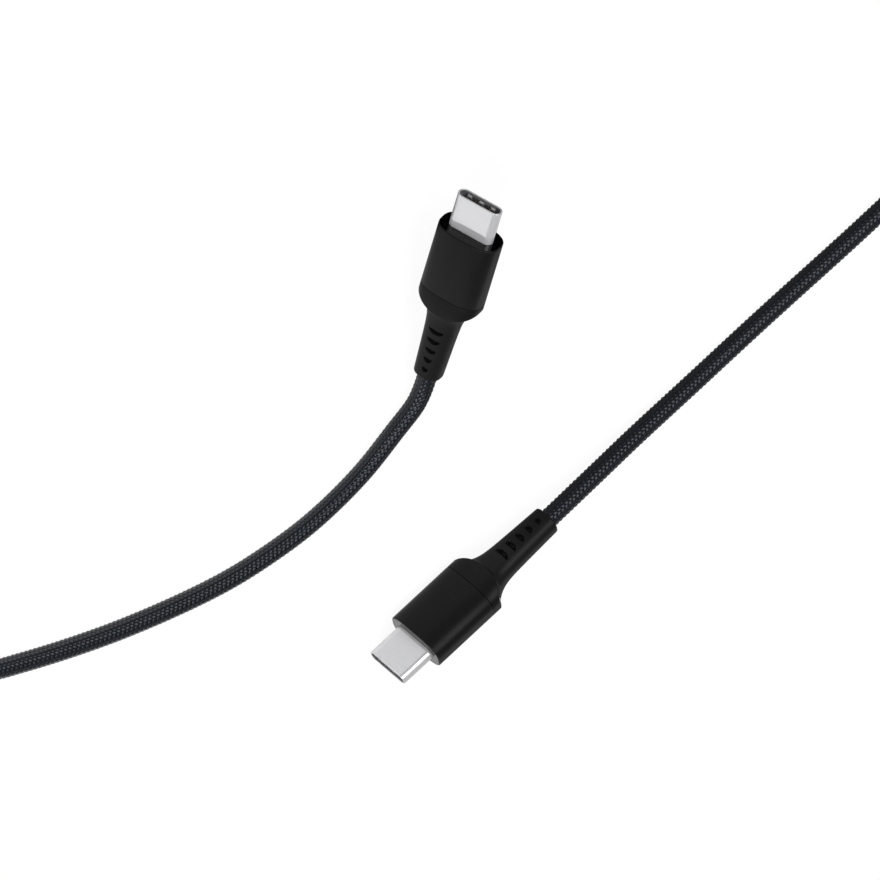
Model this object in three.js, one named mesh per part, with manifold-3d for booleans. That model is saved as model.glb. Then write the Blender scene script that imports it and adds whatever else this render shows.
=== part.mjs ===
// A charging cable: a braided cord about 1.1 m long with the same USB Type-C plug at both ends.
// Millimetres, +Z up. The table is z = 0; the origin lies under the middle of the two plugs.
// A plug is built along its own +X: the mouth points to +X, Y is its width, Z its thickness,
// and x = 0 is the flat front face of the housing.

import * as THREE from "three";
import { mergeVertices } from "three/addons/utils/BufferGeometryUtils.js";
import Module from "manifold-3d";

const wasm = await Module();
wasm.setup();

// ---------- driving dimensions, mm ----------

// metal shell of a USB Type-C plug
const shellWidth = 8.25;
const shellThickness = 2.4;
const shellReach = 6.65; // from the housing's front face to the mouth
const shellTail = 4.0; // held inside the housing
const shellWall = 0.3;

// black insulator with the contacts
const insulatorClearance = 0.06;
const insulatorSetback = 1.75; // its front lies this far behind the mouth
const insulatorTail = 2.0;
const cavityWidth = 6.85;
const cavityHeight = 0.98;
const cavityFloorX = 0.9;
const slotSkin = 0.12; // left over the contact slots

// contacts
const contactPitch = 0.5;
const contactWidth = 0.25;
const contactThickness = 0.12;
const contactSlotWidth = 0.37;
const contactTipSetback = 0.3; // behind the insulator's front
const contactTouchZ = 0.3;
const contactBeamZ = 0.62;
const bridgeX = -1.3;
const bridgeLength = 0.4;

// spring pieces in the mouth
const springThickness = 0.1;
const springGap = 0.03;
const springLength = 1.25;
const springWidth = 5.4;
const fingerPitch = 2.25;
const fingerWidth = 0.8;
const fingerDrop = 0.26;
const latchThickness = 0.3;
const latchArmWidth = 0.3;
const latchGap = 0.1; // from the shell's inner side
const latchHook = 0.45;
const latchHookLength = 0.5;
const latchBarX = -3.1;
const latchBarLength = 0.5;

// circuit card and what sits on it
const cardWidth = 7.0;
const cardThickness = 0.7;
const cardFrontX = -3.4;
const cardRearRoom = 2.1; // from the card's rear to the sleeve's rear
const cardGap = 0.03; // solder under contacts, chip and wires
const chipSide = 1.8;
const chipHeight = 0.55;
const chipX = -6.6;

// shield, moulding and housing
const canWall = 0.25;
const canFrontX = -4.3;
const canRearInset = 0.2; // ahead of the sleeve's rear
const fitGap = 0.08; // between parts that nest in the housing
const housingWidth = 11.28;
const housingThickness = 6.7;
const housingCurve = 2.9; // exponent of the housing's rounded outline
const housingWall = 0.6;
const sleeveLength = 12.9;
const seamGap = 0.08;
const collarSideLength = 1.4;
const collarBow = 2.44; // how far the collar's rear edge bows out at the middle
const plateThickness = 0.9;
const plateHoleGap = 0.05;
const mouldFrontGap = 0.2; // behind the front plate
const mouldRearInset = 0.4; // ahead of the sleeve's rear
const mouldSideWall = 0.38; // beside the can
const mouldTopWall = 0.34; // over the can

// strain relief boot, with its places counted back from the sleeve's rear
const bootLength = 17.7;
const bootRootGap = 0.5; // inside the collar
const bootRootWidth = 8.2; // where it goes through the collar
const bootRootThickness = 5.7;
const bootSeatGap = 0.06; // between the flange and the collar's rear wall
const bootNeckWidth = 6.1;
const bootNeckThickness = 5.0;
const bootEndWidth = 4.9;
const bootEndThickness = 4.6;
const bootCurve = 2.5;
const flareWidth = 3.5; // added at the collar's rear wall, and gone a little behind it
const flareThickness = 1.2;
const flareLength = 1.1; // over which the flare drops to about a third
const flareBend = 4; // behind the wall, where the boot no longer follows its bow
const bootEndRound = 0.3;
const bootBoreGap = 0.08;
const slotCount = 5;
const slotFirst = 7.45; // behind the sleeve
const slotPitch = 2.08;
const slotLength = 0.95; // of each half-moon, along the plug
const slotFirstWidth = 2.85;
const slotWidthStep = 0.42; // each slot is this much narrower than the last
const slotDepth = 0.5;

// cord
const cordDiameter = 3.4;
const meetGap = 0.3; // between the cord's pieces, and between the cord and a boot
const leadLength = 0.8; // of cord that leaves a boot straight, before it bends
const cordSides = 8;
const ferruleLength = 2.6;
const ferruleWall = 0.5;
const ferruleGap = 1.5; // behind the sleeve
const tailGap = 0.3; // behind the sleeve
const wireDiameter = 0.8;
const wireSpread = 1.7; // from the middle of the card to a wire's pad

// coil of the spare length, laid as for storage
const coilCentre = [-91.5, 71];
const coilRadius = 24.6;
const coilPitch = 4.5;
const coilRise = 4.3;
const coilTurnsPerLayer = 1.875;
const coilSteps = 24; // a turn
const coilSides = 6;
const tieThickness = 0.6;
const tieWidth = 8;
const tieGap = 0.3;
const tieAngle = 225; // degrees round the coil

// how each plug lies on the table: place of the front face's middle, and angles in degrees
const plugPlaces = {
  plug_a: { x: -39.4, y: -7.16, heading: 177.1, pitch: 13, roll: -64.4 },
  plug_b: { x: 40.96, y: -10.85, heading: -62.7, pitch: 3.1, roll: 71.8 },
};

// The cord's route between its straight ends, chosen by hand: from plug_a's boot to the coil,
// and from the coil to plug_b's boot.
const cordRest = cordDiameter / 2 + 0.05;
const coilLowZ = tieThickness + tieGap + cordRest;
const coilHighZ = coilLowZ + coilRise;
const routeA = [
  [-5.85, -9.15, 1.86],
  [-3.2, -10.35, 1.77],
  [0.85, -14.3, cordRest],
  [7.3, -21.1, cordRest],
  [13.4, -30.5, cordRest],
  [17.3, -40.1, cordRest],
  [19.8, -49.7, cordRest],
  [21.9, -69.0, cordRest],
  [21.8, -88.4, cordRest],
  [20.9, -96.5, cordRest],
  [17.0, -104.0, cordRest],
  [9.8, -108.2, cordRest],
  [0.0, -109.4, cordRest],
  [-95.0, -109.0, cordRest],
  [-106.0, -107.0, cordRest],
  [-113.4, -101.5, cordRest],
  [-116.6, -92.5, cordRest],
  [-117.0, -80.0, cordRest],
  [-116.7, 8.0, cordRest],
  [-116.5, 30.0, cordRest],
  [-116.2, 52.0, 2.1],
];
const routeB = [
  [-76.0, 96.3, 6.2],
  [-64.0, 97.1, 4.0],
  [-52.0, 97.8, 2.0],
  [-38.0, 98.0, cordRest],
  [-25.8, 97.4, cordRest],
  [-18.0, 94.6, cordRest],
  [-13.3, 90.2, cordRest],
  [-9.3, 84.0, cordRest],
  [3.6, 61.5, cordRest],
  [11.1, 48.7, 1.8],
  [17.7, 35.1, 2.9],
  [21.1, 27.8, 3.8],
];

// ---------- solids ----------

function solidOf(geometry) {
  const plain = geometry.index ? geometry.toNonIndexed() : geometry.clone();
  plain.deleteAttribute("normal");
  plain.deleteAttribute("uv");
  const merged = mergeVertices(plain, 1e-4);
  return new wasm.Manifold(
    new wasm.Mesh({
      numProp: 3,
      vertProperties: merged.attributes.position.array,
      triVerts: new Uint32Array(merged.index.array),
    }),
  );
}

function geometryOf(solid) {
  const mesh = solid.getMesh();
  const geometry = new THREE.BufferGeometry();
  geometry.setAttribute("position", new THREE.BufferAttribute(mesh.vertProperties, 3));
  geometry.setIndex(new THREE.BufferAttribute(mesh.triVerts, 1));
  return geometry.toNonIndexed();
}

function cut(body, tools) {
  const rest = tools.reduce((left, tool) => left.subtract(solidOf(tool)), solidOf(body));
  return geometryOf(rest);
}

function join(pieces) {
  const whole = pieces.slice(1).reduce((sum, piece) => sum.add(solidOf(piece)), solidOf(pieces[0]));
  return geometryOf(whole);
}

// A box from its lowest and highest corners.
function block(low, high) {
  const size = high.map((value, axis) => value - low[axis]);
  const middle = high.map((value, axis) => (value + low[axis]) / 2);
  return new THREE.BoxGeometry(...size).translate(...middle);
}

// A flat outline in Y and Z, drawn out from x = from to x = to.
const turnToX = new THREE.Matrix4().makeBasis(
  new THREE.Vector3(0, 1, 0),
  new THREE.Vector3(0, 0, 1),
  new THREE.Vector3(1, 0, 0),
);

function alongX(shape, from, to, curveSegments = 5) {
  const options = { depth: to - from, bevelEnabled: false, curveSegments };
  return new THREE.ExtrudeGeometry(shape, options).translate(0, 0, from).applyMatrix4(turnToX);
}

// A flat outline in X and Z, drawn out to both sides of y = middle.
function acrossY(points, width, middle) {
  const shape = new THREE.Shape(points.map(([x, z]) => new THREE.Vector2(x, z)));
  return new THREE.ExtrudeGeometry(shape, { depth: width, bevelEnabled: false })
    .rotateX(Math.PI / 2)
    .translate(0, middle + width / 2, 0);
}

function stadium(width, height, path = new THREE.Shape()) {
  const radius = height / 2;
  const side = width / 2 - radius;
  path.absarc(side, 0, radius, -Math.PI / 2, Math.PI / 2, false);
  path.absarc(-side, 0, radius, Math.PI / 2, (3 * Math.PI) / 2, false);
  path.closePath();
  return path;
}

// Points of a rounded outline between an ellipse (curve 2) and a rectangle (large curve).
function roundedPoints(width, height, curve, count) {
  return Array.from({ length: count }, (_, i) => {
    const angle = (2 * Math.PI * i) / count;
    const [c, s] = [Math.cos(angle), Math.sin(angle)];
    const bend = (value) => Math.sign(value) * Math.abs(value) ** (2 / curve);
    return new THREE.Vector2((width / 2) * bend(c), (height / 2) * bend(s));
  });
}

const housingPoints = 40;

function housingOutline(inset) {
  const width = housingWidth - 2 * inset;
  const height = housingThickness - 2 * inset;
  return new THREE.Shape(roundedPoints(width, height, housingCurve, housingPoints));
}

// A closed skin over rings of points from the rear to the front. All have the same count, and each
// is a mirror image of itself in Z, so strips across Z close the ends, flat or bowed.
function loft(rings) {
  const count = rings[0].length;
  const positions = rings.flat().flatMap((p) => [p.x, p.y, p.z]);
  const index = [];
  rings.slice(1).forEach((_, row) => {
    for (let i = 0; i < count; i += 1) {
      const [a, b] = [row * count + i, row * count + ((i + 1) % count)];
      const [c, d] = [a + count, b + count];
      index.push(a, b, d, a, d, c);
    }
  });
  const last = (rings.length - 1) * count;
  for (let i = 0; i < count / 2; i += 1) {
    const [a, b] = [i, i + 1];
    const [c, d] = [(count - i) % count, count - i - 1];
    if (b !== d) index.push(a, d, b, last + a, last + b, last + d);
    if (a !== c) index.push(a, c, d, last + a, last + d, last + c);
  }
  const geometry = new THREE.BufferGeometry();
  geometry.setAttribute("position", new THREE.Float32BufferAttribute(positions, 3));
  geometry.setIndex(index);
  return geometry.toNonIndexed();
}

function roundBar(diameter, from, to, sides = 16) {
  const shape = new THREE.Shape(roundedPoints(diameter, diameter, 2, sides));
  return alongX(shape, from, to);
}

// ---------- pieces of one plug ----------

// places that follow the sleeve's rear
const behindSleeve = (distance) => -sleeveLength - distance;
const cardRearX = behindSleeve(-cardRearRoom);
const bootRootX = behindSleeve(bootRootGap);
const bootEndX = bootRootX - bootLength;
const slotFirstX = behindSleeve(slotFirst);
const ferruleX = behindSleeve(ferruleGap);
const tailFrontX = behindSleeve(tailGap);

// the can fills the housing but for the moulding's walls
const mouldInset = housingWall + fitGap;
const canWidth = housingWidth - 2 * (mouldInset + mouldSideWall + fitGap);
const canThickness = housingThickness - 2 * (mouldInset + mouldTopWall + fitGap);

const shellInside = { width: shellWidth - 2 * shellWall, height: shellThickness - 2 * shellWall };
const insulatorFront = shellReach - insulatorSetback;
const contactTipX = insulatorFront - contactTipSetback;
const cardTop = cardThickness / 2;

function shell() {
  const outline = stadium(shellWidth, shellThickness);
  outline.holes.push(stadium(shellInside.width, shellInside.height, new THREE.Path()));
  return alongX(outline, -shellTail, shellReach);
}

const contactPlaces = {
  contact_ground_left: { position: -5.5, rows: [1, -1] },
  contact_ground_right: { position: 5.5, rows: [1, -1] },
  contact_power_left: { position: -2.5, rows: [1, -1] },
  contact_power_right: { position: 2.5, rows: [1, -1] },
  contact_channel: { position: -1.5, rows: [1] },
  contact_data_plus: { position: -0.5, rows: [1] },
  contact_data_minus: { position: 0.5, rows: [1] },
  contact_chip_power: { position: 1.5, rows: [-1] },
};

function insulator() {
  const width = shellInside.width - 2 * insulatorClearance;
  const height = shellInside.height - 2 * insulatorClearance;
  const body = alongX(stadium(width, height), -insulatorTail, insulatorFront);
  const past = 1; // cutting tools run this far past the faces they open
  const cavity = block(
    [cavityFloorX, -cavityWidth / 2, -cavityHeight / 2],
    [insulatorFront + past, cavityWidth / 2, cavityHeight / 2],
  );
  const slotTop = height / 2 - slotSkin;
  const slots = Object.values(contactPlaces).map(({ position }) => {
    const y = position * contactPitch;
    return block(
      [-insulatorTail - past, y - contactSlotWidth / 2, -slotTop],
      [contactTipX + 0.1, y + contactSlotWidth / 2, slotTop],
    );
  });
  const armInner = shellInside.width / 2 - latchGap - latchArmWidth - insulatorClearance;
  const armRoom = latchThickness / 2 + insulatorClearance;
  const pockets = [-1, 1].map((side) => {
    const ys = [side * armInner, side * (width / 2 + past)].sort((a, b) => a - b);
    return block(
      [-insulatorTail - past, ys[0], -armRoom],
      [insulatorFront - insulatorClearance * 5, ys[1], armRoom],
    );
  });
  return cut(body, [cavity, ...slots, ...pockets]);
}

function contact({ position, rows }) {
  const y = position * contactPitch;
  const tailZ = cardTop + cardGap + contactThickness / 2;
  const line = [
    [contactTipX, contactTouchZ + 0.14],
    [contactTipX - 0.4, contactTouchZ],
    [contactTipX - 1.2, contactTouchZ + 0.22],
    [1.0, contactBeamZ],
    [-insulatorTail - 0.1, contactBeamZ],
    [-insulatorTail - 0.7, tailZ],
    [cardFrontX - 1.4, tailZ],
  ];
  const beams = rows.map((row) => {
    const half = contactThickness / 2;
    const top = line.map(([x, z]) => [x, row * (z + half)]);
    const under = line.map(([x, z]) => [x, row * (z - half)]).reverse();
    const outline = [...top, ...under];
    return acrossY(row > 0 ? outline.reverse() : outline, contactWidth, y);
  });
  if (rows.length === 1) return beams[0];
  const bridge = block(
    [bridgeX, y - contactWidth / 2, -contactBeamZ],
    [bridgeX + bridgeLength, y + contactWidth / 2, contactBeamZ],
  );
  return join([...beams, bridge]);
}

// A strip under the shell's inner face with three spring fingers; side is 1 above, -1 below.
function mouthSpring(side) {
  const top = shellInside.height / 2 - springGap;
  const bottom = top - springThickness;
  const front = insulatorFront + insulatorClearance + springLength;
  const back = front - springLength;
  const zs = [side * top, side * bottom].sort((a, b) => a - b);
  const strip = block([back, -springWidth / 2, zs[0]], [front, springWidth / 2, zs[1]]);
  const middle = (front + back) / 2;
  const half = springLength / 2 - 0.08;
  const steps = 6;
  const curve = Array.from({ length: steps + 1 }, (_, i) => {
    const t = i / steps;
    return [middle - half + 2 * half * t, bottom + 0.04 - fingerDrop * Math.sin(Math.PI * t)];
  });
  const upper = curve.map(([x, z]) => [x, Math.min(z + springThickness, top - 0.02)]).reverse();
  const outline = [...curve, ...upper].map(([x, z]) => [x, side * z]);
  const fingers = [-1, 0, 1].map((place) =>
    acrossY(side > 0 ? outline : [...outline].reverse(), fingerWidth, place * fingerPitch),
  );
  return join([strip, ...fingers]);
}

// The side latch: a flat U whose two hooked arms lie along the shell's sides.
function latch() {
  const outer = shellInside.width / 2 - latchGap;
  const inner = outer - latchArmWidth;
  const tip = contactTipX;
  const shape = new THREE.Shape();
  shape.moveTo(latchBarX, -outer);
  shape.lineTo(tip, -outer);
  shape.lineTo(tip, -inner);
  shape.lineTo(tip - latchHookLength / 2, -inner + latchHook - latchArmWidth);
  shape.lineTo(tip - latchHookLength, -inner);
  shape.lineTo(latchBarX + latchBarLength, -inner);
  shape.lineTo(latchBarX + latchBarLength, inner);
  shape.lineTo(tip - latchHookLength, inner);
  shape.lineTo(tip - latchHookLength / 2, inner - latchHook + latchArmWidth);
  shape.lineTo(tip, inner);
  shape.lineTo(tip, outer);
  shape.lineTo(latchBarX, outer);
  shape.closePath();
  const options = { depth: latchThickness, bevelEnabled: false };
  return new THREE.ExtrudeGeometry(shape, options).translate(0, 0, -latchThickness / 2);
}

function card() {
  return block([cardRearX, -cardWidth / 2, -cardTop], [cardFrontX, cardWidth / 2, cardTop]);
}

function chip() {
  const low = cardTop + cardGap;
  return block(
    [chipX - chipSide / 2, -chipSide / 2, low],
    [chipX + chipSide / 2, chipSide / 2, low + chipHeight],
  );
}

function shieldCan() {
  const outline = stadium(canWidth, canThickness);
  const inside = stadium(canWidth - 2 * canWall, canThickness - 2 * canWall, new THREE.Path());
  outline.holes.push(inside);
  return alongX(outline, behindSleeve(-canRearInset), canFrontX, 4);
}

function innerMould() {
  const outline = housingOutline(mouldInset);
  outline.holes.push(stadium(canWidth + 2 * fitGap, canThickness + 2 * fitGap, new THREE.Path()));
  const front = -plateThickness - mouldFrontGap;
  return alongX(outline, behindSleeve(-mouldRearInset), front, 4);
}

function frontPlate() {
  const outline = housingOutline(housingWall + fitGap);
  const hole = stadium(
    shellWidth + 2 * plateHoleGap,
    shellThickness + 2 * plateHoleGap,
    new THREE.Path(),
  );
  outline.holes.push(hole);
  return alongX(outline, -plateThickness, 0);
}

function sleeve() {
  const outline = housingOutline(0);
  outline.holes.push(housingOutline(housingWall));
  return alongX(outline, -sleeveLength, 0);
}

const collarFrontX = -sleeveLength - seamGap;

// How far the collar's rear wall bows back at a place across the plug: one arc, the same at any height.
function wallBow(y) {
  const half = housingWidth / 2;
  const radius = (half * half + collarBow * collarBow) / (2 * collarBow);
  return Math.sqrt(radius * radius - y * y) - (radius - collarBow);
}

const wallX = (y) => collarFrontX - collarSideLength - wallBow(y);

function collar() {
  const outline = roundedPoints(housingWidth, housingThickness, housingCurve, housingPoints);
  const back = outline.map((p) => new THREE.Vector3(wallX(p.x), p.x, p.y));
  const front = outline.map((p) => new THREE.Vector3(collarFrontX, p.x, p.y));
  const width = bootRootWidth + 2 * fitGap;
  const height = bootRootThickness + 2 * fitGap;
  const hole = new THREE.Shape(roundedPoints(width, height, bootCurve, bootPoints));
  const past = 1;
  return cut(loft([back, front]), [alongX(hole, wallX(0) - past, collarFrontX + past)]);
}

const bootPoints = 28;

// The boot's size at a distance behind the wall: a straight taper, and a flare that dies away.
function bootSize(behind, neck, end, flare) {
  const share = behind / (wallX(0) - bootEndX);
  return neck + (end - neck) * share + flare * Math.exp(-behind / flareLength);
}

function bootRing(behind, inset) {
  const width = bootSize(behind, bootNeckWidth, bootEndWidth, flareWidth);
  const height = bootSize(behind, bootNeckThickness, bootEndThickness, flareThickness);
  const points = roundedPoints(width - 2 * inset, height - 2 * inset, bootCurve, bootPoints);
  const follow = Math.max(0, 1 - behind / flareBend);
  return points.map((p) => {
    const bowed = (wallX(p.x) - wallX(0)) * follow;
    return new THREE.Vector3(wallX(0) - behind + bowed, p.x, p.y);
  });
}

function boot() {
  const rootPoints = roundedPoints(bootRootWidth, bootRootThickness, bootCurve, bootPoints);
  const root = rootPoints.map((p) => new THREE.Vector3(bootRootX, p.x, p.y));
  const rootRear = rootPoints.map((p) => new THREE.Vector3(wallX(p.x) - bootSeatGap, p.x, p.y));
  const length = wallX(0) - bootEndX;
  const flareSteps = [1, 0.72, 0.5, 0.32, 0.18, 0.07].map((share) => share * flareBend);
  const body = loft([
    bootRing(length, bootEndRound),
    bootRing(length - bootEndRound, 0),
    ...flareSteps.map((behind) => bootRing(behind, 0)),
    bootRing(bootSeatGap, 0),
    rootRear,
    root,
  ]);
  const past = 1;
  const bore = roundBar(cordDiameter + 2 * bootBoreGap, bootEndX - past, bootRootX + past);
  const ferruleRoom = roundBar(
    cordDiameter + 2 * (bootBoreGap + ferruleWall + fitGap),
    ferruleX - ferruleLength - fitGap,
    bootRootX + past,
  );
  const slots = Array.from({ length: slotCount }, (_, i) => i).flatMap((i) => {
    const x = slotFirstX - slotPitch * i;
    const radius = (slotFirstWidth - slotWidthStep * i) / 2;
    const outline = new THREE.Shape();
    outline.absellipse(0, 0, radius, slotLength, 0, Math.PI, false);
    outline.closePath();
    const height = bootSize(wallX(0) - x, bootNeckThickness, bootEndThickness, flareThickness);
    return [1, -1].map((side) => {
      const bottom = side > 0 ? height / 2 - slotDepth : -height / 2 - past;
      const options = { depth: slotDepth + past, bevelEnabled: false, curveSegments: 8 };
      return new THREE.ExtrudeGeometry(outline, options)
        .rotateZ(Math.PI / 2)
        .translate(x, 0, bottom);
    });
  });
  return cut(body, [bore, ferruleRoom, ...slots]);
}

function ferrule() {
  const inner = cordDiameter / 2 + bootBoreGap;
  const outer = inner + ferruleWall;
  const profile = [
    [inner, 0],
    [outer, 0],
    [outer, ferruleLength],
    [inner, ferruleLength],
    [inner, 0],
  ].map(([r, h]) => new THREE.Vector2(r, h));
  return new THREE.LatheGeometry(profile, 16)
    .rotateZ(-Math.PI / 2)
    .translate(ferruleX - ferruleLength, 0, 0);
}

function cordTail() {
  return roundBar(cordDiameter, bootEndX, tailFrontX, 12);
}

// One insulated wire from the cord's end to a pad on the card.
function wire(place) {
  const radius = wireDiameter / 2;
  const side = place < 2 ? -1 : 1;
  const level = place % 2 === 0 ? 1 : -1;
  const padY = side * wireSpread;
  const padZ = level * (cardTop + cardGap + radius);
  const from = tailFrontX + meetGap / 3;
  const to = cardRearX + 1.2;
  const line = new THREE.CatmullRomCurve3([
    new THREE.Vector3(from, side * 0.62, level * 0.55),
    new THREE.Vector3(from + 0.5, side * 0.75, level * 0.6),
    new THREE.Vector3(to - 0.6, padY, padZ + level * 0.1),
    new THREE.Vector3(to, padY, padZ),
  ]);
  const section = new THREE.Shape(roundedPoints(wireDiameter, wireDiameter, 2, 6));
  return new THREE.ExtrudeGeometry(section, { steps: 7, extrudePath: line, bevelEnabled: false });
}

// ---------- cord ----------

const toVectors = (points) => points.map((p) => new THREE.Vector3(...p));

// A curve through the route's points that takes the same number of steps from each point to the next.
class CordPath extends THREE.CatmullRomCurve3 {
  constructor(points) {
    super(toVectors(points), false, "centripetal");
  }

  getUtoTmapping(share) {
    return share;
  }
}

function cordTube(points, stepsPerPoint, sides) {
  const section = new THREE.Shape(roundedPoints(cordDiameter, cordDiameter, 2, sides));
  const steps = stepsPerPoint * (points.length - 1);
  const options = { steps, extrudePath: new CordPath(points), bevelEnabled: false };
  return new THREE.ExtrudeGeometry(section, options);
}

// Turns of the coil: in at a steady rate, half a turn of climb, and out again a layer higher.
const coilTurns = 2 * coilTurnsPerLayer + 0.5;

function coilPoint(turns) {
  const climbEnd = coilTurnsPerLayer + 0.5;
  const wound = Math.min(turns, coilTurnsPerLayer) - Math.max(turns - climbEnd, 0);
  const climb = Math.min(Math.max((turns - coilTurnsPerLayer) / 0.5, 0), 1);
  const radius = coilRadius - coilPitch * wound;
  const angle = Math.PI - 2 * Math.PI * turns; // clockwise from the coil's -X side
  return [
    coilCentre[0] + radius * Math.cos(angle),
    coilCentre[1] + radius * Math.sin(angle),
    coilLowZ + coilRise * climb,
  ];
}

// The coil starts and ends straight for one diameter, and so do the stretches that meet it.
const coilEntry = (lead) => [coilCentre[0] - coilRadius, coilCentre[1] - lead, coilLowZ];
const coilExit = (lead) => [coilCentre[0] + lead, coilCentre[1] + coilRadius, coilHighZ];

function coilRoute() {
  const count = Math.round(coilTurns * coilSteps);
  const turns = Array.from({ length: count + 1 }, (_, i) => coilPoint((coilTurns * i) / count));
  return [coilEntry(cordDiameter), ...turns, coilExit(cordDiameter)];
}

// The least distance between the skins of two turns, on the points of the route.
function leastGap(points) {
  const apart = Math.round(coilSteps / 2);
  let least = Infinity;
  points.forEach((p, i) => {
    for (let j = i + apart; j < points.length; j += 1) {
      const q = points[j];
      least = Math.min(least, Math.hypot(p[0] - q[0], p[1] - q[1], p[2] - q[2]));
    }
  });
  return least - cordDiameter;
}

// A flat strap round the coil's turns, where the spiral reverses.
function tie() {
  const innermost = coilRadius - coilPitch * coilTurnsPerLayer;
  const half = tieWidth / 2;
  const sag = innermost - Math.sqrt(innermost * innermost - half * half);
  const drift = (coilPitch * half) / (2 * Math.PI * innermost);
  const inner = innermost - sag - drift - cordDiameter / 2 - tieGap;
  const outer = innermost + 1.5 * coilPitch + drift + cordDiameter / 2 + tieGap;
  const top = coilHighZ + cordDiameter / 2 + tieGap;
  const bottom = tieThickness;
  const loop = new THREE.Shape();
  const corner = 1.2;
  const frame = (path, low, high, left, right, round) => {
    path.absarc(right - round, high - round, round, 0, Math.PI / 2, false);
    path.absarc(left + round, high - round, round, Math.PI / 2, Math.PI, false);
    path.absarc(left + round, low + round, round, Math.PI, (3 * Math.PI) / 2, false);
    path.absarc(right - round, low + round, round, (3 * Math.PI) / 2, 2 * Math.PI, false);
    path.closePath();
    return path;
  };
  const t = tieThickness;
  frame(loop, bottom - t, top + t, inner - t, outer + t, corner);
  loop.holes.push(frame(new THREE.Path(), bottom, top, inner, outer, corner - t));
  const turn = THREE.MathUtils.degToRad(tieAngle);
  return new THREE.ExtrudeGeometry(loop, { depth: tieWidth, bevelEnabled: false, curveSegments: 2 })
    .rotateX(Math.PI / 2)
    .translate(0, tieWidth / 2, 0)
    .rotateZ(turn)
    .translate(coilCentre[0], coilCentre[1], 0);
}

// ---------- assembly ----------

const finishes = {
  steel: { color: "#d8d8da", roughness: 0.28, metalness: 1 },
  spring: { color: "#c9c6bf", roughness: 0.3, metalness: 1 },
  gold: { color: "#d8b25a", roughness: 0.3, metalness: 1 },
  blackPlastic: { color: "#1a1a1b", roughness: 0.45, metalness: 0 },
  glossPlastic: { color: "#101011", roughness: 0.12, metalness: 0 },
  housing: { color: "#242426", roughness: 0.38, metalness: 0.35 },
  rubber: { color: "#2b2b2e", roughness: 0.6, metalness: 0 },
  board: { color: "#1f4a34", roughness: 0.5, metalness: 0 },
  mould: { color: "#e4e2da", roughness: 0.6, metalness: 0 },
  copper: { color: "#b87333", roughness: 0.35, metalness: 1 },
  braid: { color: "#2f3439", roughness: 0.75, metalness: 0 },
  redWire: { color: "#a8322a", roughness: 0.5, metalness: 0 },
  blackWire: { color: "#18181a", roughness: 0.5, metalness: 0 },
  greenWire: { color: "#2d7a45", roughness: 0.5, metalness: 0 },
  whiteWire: { color: "#e8e8e6", roughness: 0.5, metalness: 0 },
  strap: { color: "#202123", roughness: 0.85, metalness: 0 },
};

function piece(name, geometry, finish) {
  const mesh = new THREE.Mesh(geometry, new THREE.MeshStandardMaterial(finishes[finish]));
  mesh.name = name;
  return mesh;
}

function plugPieces() {
  const contacts = Object.entries(contactPlaces).map(([name, place]) => {
    return [name, contact(place), "gold"];
  });
  return [
    ["shell", shell(), "steel"],
    ["insulator", insulator(), "blackPlastic"],
    ...contacts,
    ["mouth_spring_upper", mouthSpring(1), "spring"],
    ["mouth_spring_lower", mouthSpring(-1), "spring"],
    ["latch_spring", latch(), "spring"],
    ["circuit_card", card(), "board"],
    ["marker_chip", chip(), "blackPlastic"],
    ["shield_can", shieldCan(), "copper"],
    ["inner_mould", innerMould(), "mould"],
    ["front_plate", frontPlate(), "glossPlastic"],
    ["sleeve", sleeve(), "housing"],
    ["collar", collar(), "housing"],
    ["boot", boot(), "rubber"],
    ["ferrule", ferrule(), "spring"],
    ["cord_tail", cordTail(), "braid"],
    ["wire_power", wire(0), "redWire"],
    ["wire_ground", wire(1), "blackWire"],
    ["wire_data_plus", wire(2), "greenWire"],
    ["wire_data_minus", wire(3), "whiteWire"],
  ];
}

const sharedPieces = plugPieces();

// A plug turned as it lies, and let down until its lowest point meets the table.
function plug(name) {
  const place = plugPlaces[name];
  const group = new THREE.Group();
  group.name = name;
  sharedPieces.forEach(([part, geometry, finish]) => {
    group.add(piece(name + "_" + part, geometry, finish));
  });
  const degrees = THREE.MathUtils.degToRad;
  group.rotation.set(degrees(place.roll), degrees(-place.pitch), degrees(place.heading), "ZYX");
  group.updateMatrixWorld(true);
  const lowest = new THREE.Box3().setFromObject(group, true).min.z;
  group.position.set(place.x, place.y, -lowest);
  return group;
}

const plugs = Object.keys(plugPlaces).map(plug);

// The two points of the cord's straight end behind a plug's boot.
function cordLead(group) {
  group.updateMatrixWorld(true);
  return [meetGap, meetGap + leadLength].map((back) => {
    return new THREE.Vector3(bootEndX - back, 0, 0).applyMatrix4(group.matrixWorld).toArray();
  });
}

const endA = [coilEntry(meetGap + 2 * cordDiameter), coilEntry(meetGap + cordDiameter)];
const startB = [coilExit(meetGap + cordDiameter), coilExit(meetGap + 2 * cordDiameter)];
const stretchA = [...cordLead(plugs[0]), ...routeA, ...endA];
const stretchB = [...startB, ...routeB, ...cordLead(plugs[1]).reverse()];
const coilLine = coilRoute();

const cable = new THREE.Group();
cable.name = "charging_cable";
cable.add(...plugs);
cable.add(piece("cord_stretch_a", cordTube(stretchA, 2, cordSides), "braid"));
cable.add(piece("cord_coil", cordTube(coilLine, 1, coilSides), "braid"));
cable.add(piece("cord_stretch_b", cordTube(stretchB, 2, cordSides), "braid"));
cable.add(piece("coil_tie", tie(), "strap"));

// The origin lies under the middle of the two plugs.
const plugBox = plugs.reduce((box, group) => box.expandByObject(group, true), new THREE.Box3());
const middle = plugBox.getCenter(new THREE.Vector3());
cable.position.set(-middle.x, -middle.y, 0);

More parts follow.
